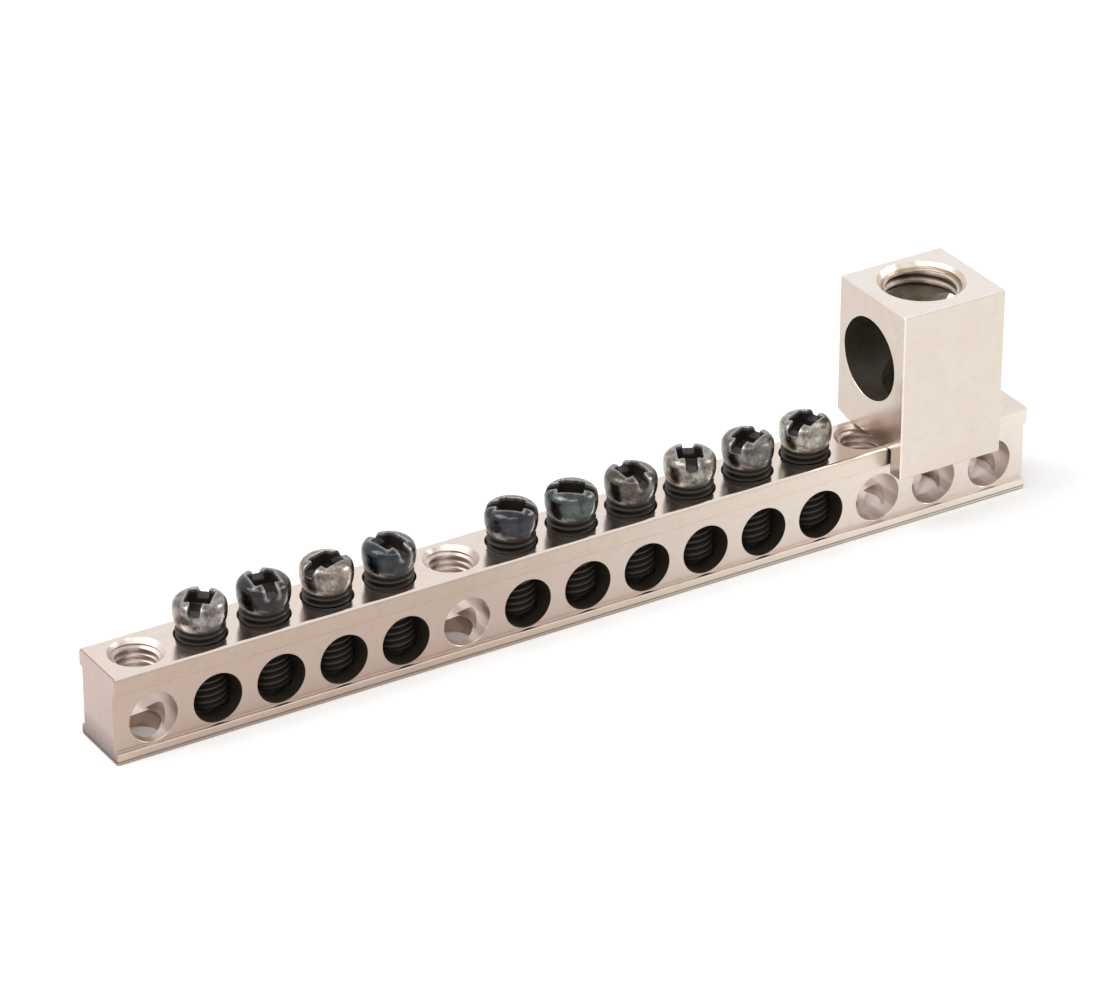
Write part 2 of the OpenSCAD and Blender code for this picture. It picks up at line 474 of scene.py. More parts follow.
def port_cutter(x):
    out = BAR_W / 2 + BEYOND
    wide = PORT_R + PORT_RIM
    outline = [(0, -out), (wide, -out), (wide, -FACE_Y), (PORT_R, -FACE_Y + PORT_RIM),
               (PORT_R, FACE_Y - PORT_RIM), (wide, FACE_Y), (wide, out), (0, out)]
    return placed(turned("port", outline), x, 0, PORT_Z, turn=(90, "X"))


shaped(bar, gathered("ports", [port_cutter(x) for x in ports.values()]), "DIFFERENCE")
print("bar faces with its ports:", len(bar.data.polygons))

# %% [markdown]
# Each screw hole comes from above: a countersunk mouth, the thread, and below it the point of the
# drill, or a hole right through the floor where the bar is fixed down. The holes that stand empty
# show their thread, so those are cut with a tap's form. It ends just below the crown of the port,
# and a plain bore goes on from there, so that the two holes cross in clean edges. Where a screw
# fills the hole, a plain bore is enough, and it lets that screw slide without touching. Its mouth
# is narrower too, because no ring shows round a fitted screw in the photograph.

# %% Tap the screw holes
SCREW_HOLE_R = 3.225
PILOT_R = 2.75
PILOT_FLOOR = 0.8
POINT_ANGLE = 118
DRILL_POINT = PILOT_R / math.tan(math.radians(POINT_ANGLE / 2))
TAP_Z = PILOT_FLOOR + DRILL_POINT
THREAD_PITCH = 25.4 / 28
THREAD_FROM = 7.6
RUN_OUT = 0.2
MOUTH = 0.42
MOUTH_LEAD = 0.75
FITTED_MOUTH = 0.2
CREST_MOUTH_R = 2.95
OVERLAP = 0.5
LIMIT_R = 5
MOUNTED = (1, 6)
TAPPED = (1, 6, 13, 15)


def plug(name, radius, low, high):
    """A plain closed cylinder."""
    return turned(name, [(0, low), (radius, low), (radius, high), (0, high)])


def mouth_outline(radius, mouth, low, top):
    return [(0, low), (radius, low), (radius, top - mouth), (radius + mouth, top),
            (radius + mouth, top + BEYOND), (0, top + BEYOND)]


def tapped_cutter():
    """A countersunk mouth, the tap's thread and the plain bore below it."""
    hole = threaded_rod("tap", SCREW_HOLE_R, PILOT_R, THREAD_PITCH, THREAD_FROM, BAR_H)
    shaped(hole, plug("limit", LIMIT_R, THREAD_FROM, BAR_H + BEYOND), "INTERSECT")
    mouth = SCREW_HOLE_R + MOUTH - CREST_MOUTH_R
    shaped(hole, turned("mouth", mouth_outline(CREST_MOUTH_R, mouth, BAR_H - MOUTH_LEAD, BAR_H)), "UNION")
    plain = [(0, TAP_Z), (SCREW_HOLE_R, TAP_Z), (SCREW_HOLE_R, THREAD_FROM),
             (PILOT_R, THREAD_FROM + RUN_OUT), (0, THREAD_FROM + RUN_OUT)]
    return shaped(hole, turned("plain", plain), "UNION")


def floor_cutter(position):
    """The pilot drill's own hole: right through the floor, or its point in it."""
    top = TAP_Z + OVERLAP
    if position in MOUNTED:
        return plug("pilot", PILOT_R, -BEYOND, top)
    return turned("point", [(0, TAP_Z - DRILL_POINT), (PILOT_R, TAP_Z), (PILOT_R, top), (0, top)])


def screw_hole_cutter(position, x):
    if position in TAPPED:
        hole = tapped_cutter()
    else:
        hole = turned("bore", mouth_outline(SCREW_HOLE_R, FITTED_MOUTH, TAP_Z, BAR_H))
    return placed(shaped(hole, floor_cutter(position), "UNION"), x)


shaped(bar, gathered("screw_holes", [screw_hole_cutter(n, x) for n, x in ports.items()]), "DIFFERENCE")
print("bar faces after tapping:", len(bar.data.polygons))

# %% [markdown]
# ## The lug
# The lug is one thick piece of the same kind of section: a tall block with a short leg that hooks
# down over the bar's front, and an underside that rises a little behind the bar. It is sawn to
# length like the bar, so the same helper draws it.

# %% Draw the lug
LUG_CORNER = 0.34
LEG_TIP_CORNER = 0.1
LEG_ROOT_CORNER = 0.15
HEEL_CORNER = 0.2
LUG_SAWN_EDGE = 0.16
LEG_GAP = 0.5
LEG_INNER_Y = -BAR_W / 2 - LEG_GAP
HEEL_RUN, HEEL_RISE = 2.3, 0.7
lug_x = (lug_low.x + lug_high.x) / 2


def lug_section():
    return rounded([
        (lug_low.y, lug_low.z, LUG_CORNER), (LEG_INNER_Y, lug_low.z, LEG_TIP_CORNER),
        (LEG_INNER_Y, BAR_H, LEG_ROOT_CORNER), (lug_high.y - HEEL_RUN, BAR_H, 0),
        (lug_high.y, BAR_H + HEEL_RISE, HEEL_CORNER),
        (lug_high.y, lug_high.z, LUG_CORNER), (lug_low.y, lug_high.z, LUG_CORNER),
    ])


lug = drawn_bar("lug_body", lug_section(), lug_low.x, lug_high.x, LUG_SAWN_EDGE)
print("lug section points:", len(lug_section()), "- middle of the lug in x:", round(lug_x, 2))

# %% [markdown]
# It is bored along the bar for one big conductor and tapped from above for a set screw that isn't
# fitted here. A countersunk screw in its floor holds it down. The coarse thread is in plain view
# from above, so it is cut as a real form like the thread in the bar.

# %% Bore and tap the lug
LUG_H = 20.2
LUG_BORE_R = 5.7
LUG_BORE_Y = 0.2
LUG_FLOOR = 5.3
LUG_BORE_Z = BAR_H + LUG_FLOOR + LUG_BORE_R
LUG_BORE_RIM = 0.04
SET_THREAD_R = 5.4
SET_PITCH = 25.4 / 20
SET_VALLEY_R = SET_THREAD_R - 0.56 * SET_PITCH
SET_MOUTH = 0.45
SET_MOUTH_LEAD = 0.9
SET_CREST_MOUTH_R = 5.0
SET_THREAD_LEN = 3.3
SET_THREAD_LOW = BAR_H + LUG_H - SET_THREAD_LEN
SET_RUN_OUT = 0.3
SET_LIMIT_R = 8
FIX_SINK, FIX_RIM, FIX_CONE = 0.3, 0.5, 1.525
FIX_HEAD_R = 4.8
FIX_SEAT_LOW = BAR_H + LUG_FLOOR - FIX_SINK - FIX_RIM - FIX_CONE


def lug_bore_cutter():
    half = (lug_high.x - lug_low.x) / 2
    wide = LUG_BORE_R + LUG_BORE_RIM
    outline = [
        (0, -half - BEYOND), (wide, -half - BEYOND), (wide, -half), (LUG_BORE_R, -half + LUG_BORE_RIM),
        (LUG_BORE_R, half - LUG_BORE_RIM), (wide, half), (wide, half + BEYOND), (0, half + BEYOND),
    ]
    return placed(turned("lug_bore", outline, 128), lug_x, LUG_BORE_Y, LUG_BORE_Z, turn=(90, "Y"))


def set_screw_cutter():
    top = lug_high.z
    hole = threaded_rod("set_tap", SET_THREAD_R, SET_VALLEY_R, SET_PITCH, SET_THREAD_LOW, top, steps=96)
    shaped(hole, plug("limit", SET_LIMIT_R, SET_THREAD_LOW, top + BEYOND), "INTERSECT")
    plain = [(0, LUG_BORE_Z), (SET_THREAD_R, LUG_BORE_Z), (SET_THREAD_R, SET_THREAD_LOW),
             (SET_VALLEY_R, SET_THREAD_LOW + SET_RUN_OUT), (0, SET_THREAD_LOW + SET_RUN_OUT)]
    shaped(hole, turned("set_plain", plain), "UNION")
    mouth = SET_THREAD_R + SET_MOUTH - SET_CREST_MOUTH_R
    outline = mouth_outline(SET_CREST_MOUTH_R, mouth, top - SET_MOUTH_LEAD, top)
    shaped(hole, turned("set_mouth", outline), "UNION")
    return placed(hole, lug_x, LUG_BORE_Y)


def fixing_seat_cutter():
    low, top = BAR_H - BEYOND, LUG_BORE_Z - 1
    outline = [(0, low), (SCREW_HOLE_R, low), (SCREW_HOLE_R, FIX_SEAT_LOW),
               (FIX_HEAD_R, FIX_SEAT_LOW + FIX_HEAD_R - SCREW_HOLE_R), (FIX_HEAD_R, top), (0, top)]
    return placed(turned("fixing_seat", outline), lug_x)


for cutter in (lug_bore_cutter(), set_screw_cutter(), fixing_seat_cutter()):
    shaped(lug, cutter, "DIFFERENCE")
print("lug faces after boring:", len(lug.data.polygons))

# %% [markdown]
# ## The terminal screws
# Each screw is cold-headed, so its head has no sharp edge anywhere: the side swells like a
# barrel, the shoulder rolls over into a shallow dome, and the slot and the square socket have soft
# lips. The head is turned, the recess is cut out of it, and the whole is rebuilt from small voxels
# and smoothed a little, which rounds every edge at once as the heading die does.

# %% Outline of a screw's head
HEAD_R = 3.45
HEAD_H = 3.9
HEAD_WIDE_Z = 1.7
NECK_R = 3.075
SHOULDER_R = 1.3
CROWN_R = 9.0
ROOT_DEEP, ROOT_STEP = 0.6, 0.25


def arc(cx, cz, radius, start, end, steps):
    return [
        (cx + radius * math.cos(start + (end - start) * k / steps),
         cz + radius * math.sin(start + (end - start) * k / steps))
        for k in range(steps + 1)
    ]


SHOULDER_X = HEAD_R - SHOULDER_R
SHOULDER_UP = math.sqrt((CROWN_R - SHOULDER_R) ** 2 - SHOULDER_X ** 2)
SHOULDER_TILT = math.atan2(SHOULDER_UP, SHOULDER_X)
CROWN_Z = HEAD_H - CROWN_R


def head_outline():
    swell = HEAD_R - NECK_R
    side_r = (HEAD_WIDE_Z ** 2 + swell ** 2) / (2 * swell)
    side = arc(HEAD_R - side_r, HEAD_WIDE_Z, side_r, -math.asin(HEAD_WIDE_Z / side_r), 0, 8)
    shoulder = arc(SHOULDER_X, CROWN_Z + SHOULDER_UP, SHOULDER_R, 0, SHOULDER_TILT, 12)
    crown = arc(0, CROWN_Z, CROWN_R, SHOULDER_TILT, math.pi / 2, 8)
    root = [(0, -ROOT_DEEP), (NECK_R - ROOT_STEP, -ROOT_DEEP)]
    return root + side + shoulder + crown[1:]


def dome_height(radius):
    """How high the uncut head is at a distance from its axis."""
    if radius < CROWN_R * math.cos(SHOULDER_TILT):
        return CROWN_Z + math.sqrt(CROWN_R ** 2 - radius ** 2)
    out = min(radius - SHOULDER_X, SHOULDER_R)
    return CROWN_Z + SHOULDER_UP + math.sqrt(SHOULDER_R ** 2 - out ** 2)


print("points in the head's outline:", len(head_outline()))

# %% [markdown]
# Two blocks cut the slot and the socket. A bevel would stumble over the short edges where they
# cross the dome. The voxels forget those edges, and the smoothing then rounds all lips alike.

# %% Cut and soften the head
SLOT_W, SLOT_DEEP = 1.5, 1.5
SOCKET_W, SOCKET_DEEP = 3.3, 2.4
VOXEL = 0.085
SOFTEN = 36
SOFTEN_BY = 0.5


def block(name, wide_x, wide_y, low, high):
    x, y = wide_x / 2, wide_y / 2
    verts = [(-x, -y, low), (x, -y, low), (x, y, low), (-x, y, low),
             (-x, -y, high), (x, -y, high), (x, y, high), (-x, y, high)]
    faces = [(3, 2, 1, 0), (4, 5, 6, 7), (0, 1, 5, 4), (1, 2, 6, 5), (2, 3, 7, 6), (3, 0, 4, 7)]
    return piece(name, verts, faces)


def screw_head():
    head = turned("head", head_outline())
    shaped(head, block("slot", 3 * HEAD_R, SLOT_W, HEAD_H - SLOT_DEEP, HEAD_H + BEYOND), "DIFFERENCE")
    shaped(head, block("socket", SOCKET_W, SOCKET_W, HEAD_H - SOCKET_DEEP, HEAD_H + BEYOND), "DIFFERENCE")
    grid = head.modifiers.new("grid", "REMESH")
    grid.mode = "VOXEL"
    grid.voxel_size = VOXEL
    grid.adaptivity = 0.0
    soft = head.modifiers.new("soft", "SMOOTH")
    soft.iterations = SOFTEN
    soft.factor = SOFTEN_BY
    return settled(head)


head = screw_head()
print("head faces:", len(head.data.polygons), "- size in mm:", [round(v, 2) for v in head.dimensions])

# %% [markdown]
# The shank is the threaded rod, cut to length by a plain turned form with a chamfered tip. Small
# voxels would blur its thread, so it is added to the finished head as a second closed skin in the
# same mesh. One screw is made in full, and the others will be copies of it, each turned to where
# its slot points in the photograph.

# %% Thread the shank
CREST_R = 3.16
VALLEY_R = CREST_R - 0.6 * THREAD_PITCH
TIP_CHAMFER = 0.8
CREST_SLACK = 0.02
NECK_LOW, NECK_TOP, NECK_STEP = -0.25, 0.05, 0.1
screw_low, screw_high = screw_boxes[screw_nodes[0]]
SHANK_LEN = screw_high.z - screw_low.z - HEAD_H


def threaded_shank():
    rod = threaded_rod("shank", CREST_R, VALLEY_R, THREAD_PITCH, -SHANK_LEN, 0)
    tip_r = CREST_R + CREST_SLACK
    outline = [(0, -SHANK_LEN), (tip_r - TIP_CHAMFER, -SHANK_LEN), (tip_r, TIP_CHAMFER - SHANK_LEN),
               (tip_r, NECK_LOW), (NECK_R - NECK_STEP, NECK_TOP), (0, NECK_TOP)]
    return shaped(rod, turned("form", outline), "INTERSECT")


pattern = gathered("terminal_screw_pattern", [head, threaded_shank()])
print("one screw has", len(pattern.data.polygons), "faces")

# %% [markdown]
# The finish of a used screw depends on where you look: the lips of the slot are rubbed bright by
# the driver, the bottom of the recess is painted black as shade, and the thread stays black with
# oil. Each point of the mesh keeps three numbers that say so, and the finish reads them later.

# %% Mark the worn lips, the recess and the thread
LIP_WIDTH = 0.6
LIP_DEPTH = 0.7
RECESS_SHADE_FROM = 0.55
HEAD_FROM = 1
RECESS_EDGE = 0.12
FLOOR_SLACK = 0.15
THREAD_TOP, THREAD_FADE = 0.1, 0.2


def off_recess(x, y):
    """How far a place is outside the slot and the socket, seen from above."""
    slot = abs(y) - SLOT_W / 2
    socket = max(abs(x), abs(y)) - SOCKET_W / 2
    return min(slot, socket)


def worn_lip(x, y, z):
    if z <= HEAD_FROM:
        return 0.0
    deep = dome_height(math.hypot(x, y)) - z
    near = max(0.0, 1 - abs(off_recess(x, y)) / LIP_WIDTH)
    return near * max(0.0, 1 - deep / LIP_DEPTH)


# Painted shade: how far into the slot and socket the black shade reaches.
def painted_recess_shade(x, y, z):
    in_socket = max(abs(x), abs(y)) < SOCKET_W / 2 + RECESS_EDGE
    floor_z = HEAD_H - (SOCKET_DEEP if in_socket else SLOT_DEEP)
    if z <= floor_z - FLOOR_SLACK or off_recess(x, y) >= RECESS_EDGE:
        return 0.0
    return min(1.0, (dome_height(math.hypot(x, y)) - z) / RECESS_SHADE_FROM)


def threaded_part(x, y, z):
    return min(1.0, max(0.0, (THREAD_TOP - z) / THREAD_FADE))


def marked(made, name, amount):
    """Keeps a number for each point of the mesh, worked out from its place."""
    layer = made.data.attributes.new(name, "FLOAT", "POINT")
    layer.data.foreach_set("value", [amount(*v.co) for v in made.data.vertices])


for name, amount in (("worn", worn_lip), ("recess_shade", painted_recess_shade), ("thread", threaded_part)):
    marked(pattern, name, amount)
print("marked:", [a.name for a in pattern.data.attributes if a.name in ("worn", "recess_shade", "thread")])

# %% [markdown]
# ## Finishes
# Tin plate is a bright metal with a warm, slightly pink cast and a satin surface. What tells it
# from paint is the small scale: die lines along the bar, saw marks across its ends, and cloudy
# patches a few millimetres wide. A picture of plate could be laid on, but it would stretch round
# corners. Here all of it is worked out from the surface's own coordinates, and a small class keeps
# the node trees short to write.

# %% Material helpers


class Shading:
    """A material with one metal shader, and short ways to add the nodes that feed it."""

    def __init__(self, name, colour, roughness, metallic=1.0):
        self.material = bpy.data.materials.new(name)
        self.tree = new_tree(self.material)
        self.metal = self.node("ShaderNodeBsdfPrincipled")
        self.give("Base Color", colour)
        self.give("Roughness", roughness)
        self.give("Metallic", metallic)
        out = self.node("ShaderNodeOutputMaterial")
        self.feed(self.metal.outputs["BSDF"], out.inputs["Surface"])
        self.place = self.node("ShaderNodeTexCoord").outputs["Object"]

    def node(self, kind, **settings):
        made = self.tree.nodes.new(kind)
        for key, value in settings.items():
            setattr(made, key, value)
        return made

    def feed(self, value, target):
        """Gives a node's input a number, a colour or another node's output."""
        if isinstance(value, tuple):
            target.default_value = (*value, 1.0)
        elif isinstance(value, (int, float)):
            target.default_value = value
        else:
            self.tree.links.new(value, target)

    def give(self, name, value):
        """Feeds one of the metal's own inputs."""
        self.feed(value, self.metal.inputs[name])

    def stretched(self, x, y, z):
        """The object's own coordinates in millimetres, scaled along each axis."""
        scale = self.node("ShaderNodeVectorMath", operation="MULTIPLY")
        self.feed(self.place, scale.inputs[0])
        scale.inputs[1].default_value = (x / MM, y / MM, z / MM)
        return scale.outputs[0]

    def noise(self, place, scale, detail, rough):
        """Cloudy values about 0.5."""
        made = self.node("ShaderNodeTexNoise")
        self.feed(place, made.inputs["Vector"])
        self.feed(scale, made.inputs["Scale"])
        self.feed(detail, made.inputs["Detail"])
        self.feed(rough, made.inputs["Roughness"])
        return made.outputs["Fac"]

    def cloud(self, scale, detail, rough):
        """Noise that is alike in all directions. A scale of 1 makes clouds about 1 mm wide."""
        return self.noise(self.stretched(1, 1, 1), scale, detail, rough)

    def span(self, value, low, high, to_low=0.0, to_high=1.0):
        """The value stretched from one range to another, and held at its ends."""
        made = self.node("ShaderNodeMapRange")
        self.feed(value, made.inputs["Value"])
        for key, number in (("From Min", low), ("From Max", high), ("To Min", to_low), ("To Max", to_high)):
            made.inputs[key].default_value = number
        return made.outputs["Result"]

    def blend(self, share, first, second):
        """Two colours, mixed by share."""
        made = self.node("ShaderNodeMix", data_type="RGBA")
        self.feed(share, made.inputs["Factor"])
        self.feed(first, made.inputs[6])
        self.feed(second, made.inputs[7])
        return made.outputs[2]

    def times(self, share, colour, tint):
        """A colour multiplied by a tint as far as share says."""
        made = self.node("ShaderNodeMix", data_type="RGBA", blend_type="MULTIPLY")
        self.feed(share, made.inputs["Factor"])
        self.feed(colour, made.inputs[6])
        self.feed(tint, made.inputs[7])
        return made.outputs[2]

    def both(self, first, second):
        """The product of two numbers."""
        made = self.node("ShaderNodeMath", operation="MULTIPLY", use_clamp=True)
        self.feed(first, made.inputs[0])
        self.feed(second, made.inputs[1])
        return made.outputs[0]

    def either(self, share, first, second):
        """Two numbers, mixed by share."""
        made = self.node("ShaderNodeMix", data_type="FLOAT")
        self.feed(share, made.inputs["Factor"])
        self.feed(first, made.inputs[2])
        self.feed(second, made.inputs[3])
        return made.outputs[0]

    def mark(self, name):
        """A number that the mesh keeps for each of its points."""
        return self.node("ShaderNodeAttribute", attribute_name=name).outputs["Fac"]

    def along(self, axis, low, high):
        """0 to 1 from one place on an axis to another, both in millimetres."""
        apart = self.node("ShaderNodeSeparateXYZ")
        self.feed(self.place, apart.inputs[0])
        return self.span(apart.outputs[axis], low * MM, high * MM)

    def lean(self, axis):
        """1 where the surface looks straight along an axis, either way, and 0 where it looks across it."""
        apart = self.node("ShaderNodeSeparateXYZ")
        self.feed(self.node("ShaderNodeNewGeometry").outputs["Normal"], apart.inputs[0])
        return maths(self.tree, "ABSOLUTE", apart.outputs[axis])

    def facing(self, axis):
        """1 on the faces that look along an axis, either way, and 0 elsewhere."""
        return self.span(self.lean(axis), 0.7, 0.9)

    def on_sawn_edge(self):
        """1 on the broken edges round a sawn end, which lean between the end and a long face."""
        lean = self.lean(0)
        return self.both(self.span(lean, 0.3, 0.5), self.span(lean, 0.95, 0.85))

    def from_axis(self, x, y, low, high):
        """0 to 1 from one distance to another from the upright axis at x, y, in millimetres."""
        flat = self.node("ShaderNodeVectorMath", operation="MULTIPLY")
        self.feed(self.place, flat.inputs[0])
        flat.inputs[1].default_value = (1, 1, 0)
        away = self.node("ShaderNodeVectorMath", operation="DISTANCE")
        self.feed(flat.outputs[0], away.inputs[0])
        away.inputs[1].default_value = (x * MM, y * MM, 0)
        return self.span(away.outputs["Value"], low * MM, high * MM)

    def bump(self, height, depth_mm, under=None):
        """Small relief, its depth in millimetres, over other relief if there is some."""
        made = self.node("ShaderNodeBump")
        self.feed(1.0, made.inputs["Strength"])
        self.feed(depth_mm * MM, made.inputs["Distance"])
        self.feed(height, made.inputs["Height"])
        if under is not None:
            self.feed(under, made.inputs["Normal"])
        return made.outputs["Normal"]


print("Shading is ready")

# %% [markdown]
# The plate isn't one tone. The rolled top is the palest. The recessed sides are darker with a pink
# cast, and the sawn ends are rougher, greyer and darker. That darkness is painted shade, a painted
# reflection of the shadowed floor beside the pieces. Along the bar the sides lighten toward the lug,
# which is painted light. So the base colour and the gloss follow the way a face looks, and clouds
# are laid over that. On the bar alone the upper lip has a tinge of straw, the lower lip is paler as a
# painted reflection of the lit floor, the sawn ends darken toward the foot and a thin dark line runs
# round the foot, both painted shade, and the broken edges of the ends are brown.

# %% Tones of the plate
ROSY = (1.0, 0.965, 0.96)
SANDY = (0.95, 0.95, 0.915)
STRAW = (1.0, 0.99, 0.95)
LOW_LIP_PAINTED_LIGHT = (1.14, 1.15, 1.12)
FOOT_PAINTED_SHADE = (0.38, 0.36, 0.35)
FOOT_PAINTED_SHADOW = (0.42, 0.42, 0.39)
SAWN_LINE = (0.62, 0.52, 0.44)
LIP_FROM = BAR_H - LIP_TOP
# Painted light: between these two places along the bar the sides lighten toward the lug.
PAINTED_LIGHT_FROM, PAINTED_LIGHT_TO = -20, 62


def painted_face_shade(made, on_end, on_side, top, side, end, lit_far_side):
    """The tone of the way a face looks, with painted shade on the darker sides and ends. The lit far
    side is what the sides fade to along the bar, a painted light.
    """
    # Painted light: the sides lighten toward the lug.
    if lit_far_side:
        side = made.blend(made.along(0, PAINTED_LIGHT_FROM, PAINTED_LIGHT_TO), side, lit_far_side)
    return made.blend(on_end, made.blend(on_side, top, side), end)


def clouded(made, tone):
    """Wide rosy clouds and smaller sandy patches."""
    rosy = made.span(made.cloud(0.24, 4.0, 0.6), 0.40, 0.62)
    sandy = made.span(made.cloud(0.8, 3.0, 0.6), 0.52, 0.72)
    return made.times(sandy, made.times(rosy, tone, ROSY), SANDY)


def bar_tints_and_painted_shade(made, on_end, on_side, tone):
    """The bar's straw tint and its painted light and shade, each between two heights in millimetres."""
    on_lip = made.both(on_side, made.along(2, LIP_FROM - 0.15, LIP_FROM + 0.15))
    tone = made.times(on_lip, tone, STRAW)
    # Painted light: the lower lip is made paler, a painted reflection of the lit floor.
    painted_low_lip_light = made.both(on_side, made.along(2, LIP_BOTTOM, LIP_BOTTOM - 0.2))
    tone = made.times(painted_low_lip_light, tone, LOW_LIP_PAINTED_LIGHT)
    # Painted shade: the sawn ends darken toward the foot.
    painted_foot_shade = made.both(on_end, made.along(2, 4.2, 0.3))
    tone = made.times(painted_foot_shade, tone, FOOT_PAINTED_SHADE)
    # Painted shadow: a thin dark line round the foot, mirroring the contact shadow.
    painted_foot_shadow = made.both(made.along(2, 0.68, 0.58), made.along(2, 0.34, 0.44))
    tone = made.times(painted_foot_shadow, tone, FOOT_PAINTED_SHADOW)
    return made.times(made.on_sawn_edge(), tone, SAWN_LINE)


print("the sides fade over", PAINTED_LIGHT_TO - PAINTED_LIGHT_FROM, "mm")

# %% [markdown]
# A face with an even gloss would look like plastic, so fine lines break it. Noise that is drawn
# out along the bar gives die lines, and noise drawn out from top to bottom gives the marks of the
# saw. They are far too fine to model, so they only bend the light.

# %% Tin plate on the bar and the lug
DULL_TOP = 0.04
LINE_DEPTH, GRAIN_DEPTH = 0.010, 0.004


def tin_plate(name, top, side, end, lit_far_side=None, tints_and_painted_shade=None):
    """Satin tin plate on a piece drawn along X. Top, side and end are each a colour and a roughness,
    and the darker side and end colours are painted shade.
    """
    made = Shading(name, top[0], top[1])
    on_end, on_side = made.facing(0), made.facing(1)
    tone = clouded(made, painted_face_shade(made, on_end, on_side, top[0], side[0], end[0], lit_far_side))
    if tints_and_painted_shade:
        tone = tints_and_painted_shade(made, on_end, on_side, tone)
    made.give("Base Color", tone)

    die_lines = made.noise(made.stretched(0.05, 6.0, 6.0), 1.0, 3.0, 0.6)
    saw_marks = made.noise(made.stretched(4.0, 5.0, 0.06), 1.0, 3.0, 0.6)
    lines = made.either(on_end, die_lines, saw_marks)
    gloss = made.span(on_side, 0, 1, top[1], side[1])
    rough_end = made.span(lines, 0.3, 0.7, end[1] - 0.04, end[1] + 0.05)
    made.give("Roughness", made.either(on_end, gloss, rough_end))
    made.give("Metallic", made.span(on_side, 0, 1, 1 - DULL_TOP, 1.0))
    relief = made.bump(lines, LINE_DEPTH)
    made.give("Normal", made.bump(made.cloud(9.0, 2.0, 0.6), GRAIN_DEPTH, relief))
    return made.material


# Painted shade: the bar's darker side and end colours stand for the shadowed floor they mirror.
bar_tin = tin_plate(
    "bar_tin", top=((0.80, 0.71, 0.64), 0.09), side=((0.465, 0.37, 0.315), 0.28),
    end=((0.50, 0.40, 0.36), 0.26), lit_far_side=(0.78, 0.715, 0.65), tints_and_painted_shade=bar_tints_and_painted_shade,
)
# Painted shade: the lug's darker side and end colours.
lug_tin = tin_plate(
    "lug_tin", top=((0.84, 0.78, 0.73), 0.2), side=((0.685, 0.62, 0.545), 0.28),
    end=((0.61, 0.53, 0.465), 0.2),
)
print("made", bar_tin.name, "and", lug_tin.name)

# %% [markdown]
# A hole that is drilled or tapped shows other metal than the outside: less smooth, a little
# browner, and streaked across the bar as if the plating bath had drained that way. The outside's
# material could have been reused, but its tones follow flat faces and a round wall has none. The
# mounting holes are darker and browner, which is painted shade. In the lug's tapped hole the
# grooves of the thread are darkened brown as painted shade, and only its crests are pale.

# %% Drilled and tapped walls
DRAINED = (0.74, 0.70, 0.69)
GROOVE_PAINTED_SHADE = (0.42, 0.34, 0.27)
GROOVE_R = (4.85, 5.15)


def bored_tin(name, tone, rough, grooves=None):
    """Plated walls of holes. Grooves are an upright axis and the two distances from it between which
    the thread is darkened brown, a painted shade in its grooves."""
    made = Shading(name, tone, rough, 0.8)
    streaks = made.noise(made.stretched(1.0, 0.02, 1.0), 0.5, 0.0, 0.5)
    tone = made.times(made.span(streaks, 0.45, 0.58), tone, DRAINED)
    if grooves:
        below_mouth = made.along(2, lug_high.z - 0.5, lug_high.z - 0.7)
        # Painted shade: the thread's grooves are darkened brown.
        tone = made.times(made.both(made.from_axis(*grooves), below_mouth), tone, GROOVE_PAINTED_SHADE)
    made.give("Base Color", tone)
    cloud = made.cloud(0.7, 2.0, 0.5)
    made.give("Roughness", made.span(cloud, 0.35, 0.65, rough - 0.04, rough + 0.06))
    return made.material


bar_bores = bored_tin("bar_bores", (0.74, 0.64, 0.585), 0.34)
# Painted shade: the mounting holes' walls are darker and browner.
pilot_bores_painted_shade = bored_tin("pilot_bores_painted_shade", (0.62, 0.49, 0.40), 0.40)
lug_bores = bored_tin("lug_bores", (0.70, 0.62, 0.53), 0.36, grooves=(lug_x, LUG_BORE_Y, *GROOVE_R))
print("made", bar_bores.name, pilot_bores_painted_shade.name, "and", lug_bores.name)

# %% [markdown]
# Ports with a screw over them are nearly black inside, and so is the lug's big bore. This is painted
# shade: a dark film laid on walls that get little light. Plain black would look like a hole in the
# picture. A dull brown film with thin and thick places still catches a little light. High in the
# lug's bore toward its right end, and on the plain wall below the thread, the film is lighter and
# olive, which is painted light where light from the tapped hole above falls.

# %% Painted shade in the bores
FILM_ROUGH, FILM_SHINE = 0.5, 0.25
OLIVE_PAINTED_LIGHT = (0.30, 0.27, 0.19)


def painted_bore_shade(name, thin, thick, painted_light=None):
    """A dark film that paints shade on an unlit bore. A painted light is a lighter tone and two places
    in x between which it starts.
    """
    made = Shading(name, thick, FILM_ROUGH, 0.0)
    made.give("Specular IOR Level", FILM_SHINE)
    cloud = made.cloud(0.6, 4.0, 0.6)
    tone = made.blend(made.span(cloud, 0.35, 0.65), thick, thin)
    # Painted light: a lighter olive patch high in the lug's bore under the tapped hole.
    if painted_light:
        film, start, end = painted_light
        upper = made.along(2, LUG_BORE_Z - 2.5, LUG_BORE_Z + 1.5)
        tone = made.blend(made.both(made.along(0, start, end), upper), tone, film)
    made.give("Base Color", tone)
    made.give("Normal", made.bump(cloud, 0.02))
    return made.material


# Painted shade: the dark film in the ports and screw holes under the screws.
port_painted_shade = painted_bore_shade("port_painted_shade", (0.038, 0.031, 0.023), (0.030, 0.024, 0.018))
# Painted shade in the lug's bore, with painted light high up where the tapped hole lets light in.
lug_bore_painted_shade = painted_bore_shade(
    "lug_bore_painted_shade", (0.046, 0.038, 0.026), (0.032, 0.027, 0.018),
    painted_light=(OLIVE_PAINTED_LIGHT, lug_x - 0.5, lug_x + 1.5),
)
